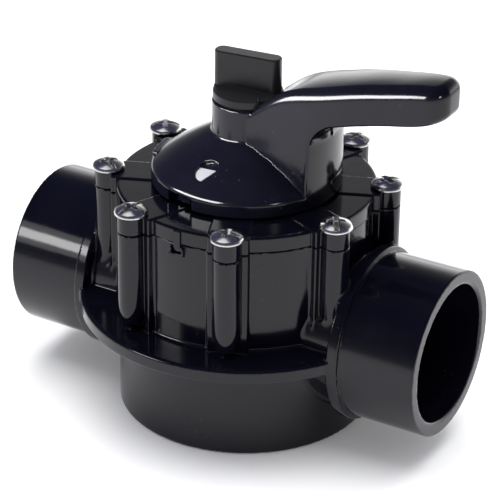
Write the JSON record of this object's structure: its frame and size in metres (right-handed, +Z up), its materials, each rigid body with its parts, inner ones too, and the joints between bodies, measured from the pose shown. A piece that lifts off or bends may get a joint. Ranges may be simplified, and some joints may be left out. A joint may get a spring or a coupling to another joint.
{
  "type": "three way valve",
  "caption": "Three way diverter valve for solvent-welded plastic pipe: barrel body with two in-line sockets and a base socket, screwed cover, domed lever handle and wing lock knob.",
  "frame": {"origin": "centre of the bottom port's rim, in the base plane", "axes": "+Z up along the stem axis, from the bottom port to the lock knob; +X along the right hand side port and, at rest, along the lever; +Y to the back"},
  "size_m": [0.2012, 0.146, 0.171],
  "materials": {
    "black_abs": "gloss",
    "handle_abs": "gloss",
    "knob_abs": "satin",
    "stainless": "polished",
    "brass": "satin",
    "rubber": "matte",
    "acetal": "satin",
    "rotor_plastic": "satin"
  },
  "bodies": {
    "body": {"valve_body": "black_abs", "screw_inserts": "brass", "cover": "black_abs", "cover_o_ring": "rubber", "cover_screws": "stainless", "stem_bush": "acetal", "lower_wear_ring": "acetal", "upper_thrust_washer": "acetal"},
    "rotor": {"diverter": "rotor_plastic", "diverter_gasket": "rubber", "stem_o_ring_lower": "rubber", "stem_o_ring_upper": "rubber", "stem_insert": "brass", "handle": "handle_abs", "handle_seat_washer": "acetal"},
    "washer": {"lock_washer": "stainless"},
    "knob": {"lock_knob": "knob_abs", "knob_stud": "stainless"}
  },
  "joints": [
    {"name": "handle_turn", "type": "hinge", "parent": "body", "child": "rotor", "pos_m": [0, 0, 0.1], "axis": [0, 0, 1], "range_deg": [0, 180]},
    {"name": "knob_lift", "type": "slide", "parent": "rotor", "child": "washer", "axis": [0, 0, 1], "range_m": [0, 0.0015]},
    {"name": "knob_turn", "type": "hinge", "parent": "washer", "child": "knob", "pos_m": [0, 0, 0.147], "axis": [0, 0, 1], "range_deg": [0, 360]}
  ],
  "couplings": [
    {"joint": "knob_turn", "follows": "knob_lift", "rad_per_m": 4188.8}
  ]
}
